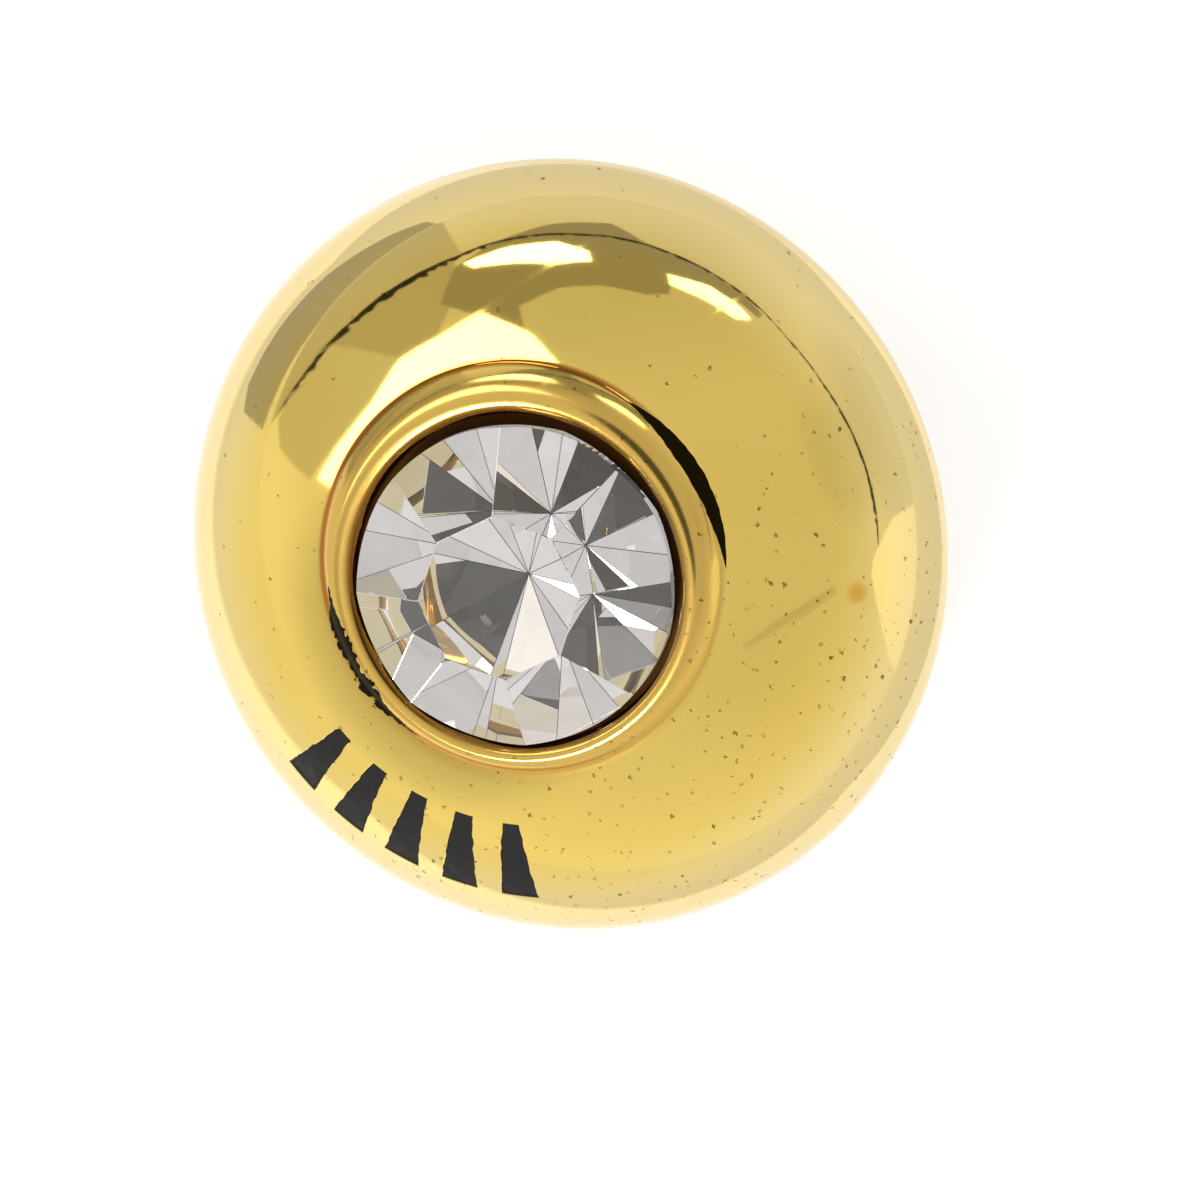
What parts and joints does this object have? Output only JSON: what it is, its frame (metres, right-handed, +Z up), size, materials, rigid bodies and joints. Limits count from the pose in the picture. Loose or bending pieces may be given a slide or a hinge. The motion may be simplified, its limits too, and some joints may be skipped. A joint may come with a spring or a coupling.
{
  "type": "clip-back button earring",
  "caption": "Domed gilt button earring with a collared round crystal, a fan of black enamel rays on its shoulder and a clip back.",
  "frame": {"origin": "centre of the whole earring in plan, on the surface that it lies on", "axes": "+Z up from that surface; the button leans about 19 degrees towards -Y, and its clip's barrel lies along X"},
  "size_m": [0.0242, 0.023, 0.0131],
  "materials": {
    "gold_plate": "polished gold plate",
    "crystal": "foil-backed cut crystal",
    "clip_metal": "gold plate, brushed",
    "black_enamel": "black enamel, dull"
  },
  "bodies": {
    "root": {"button_shell": "gold_plate", "stone": "crystal", "clip_back": "clip_metal", "enamel_ray_1": "black_enamel", "enamel_ray_2": "black_enamel", "enamel_ray_3": "black_enamel", "enamel_ray_4": "black_enamel", "enamel_ray_5": "black_enamel"}
  },
  "joints": []
}
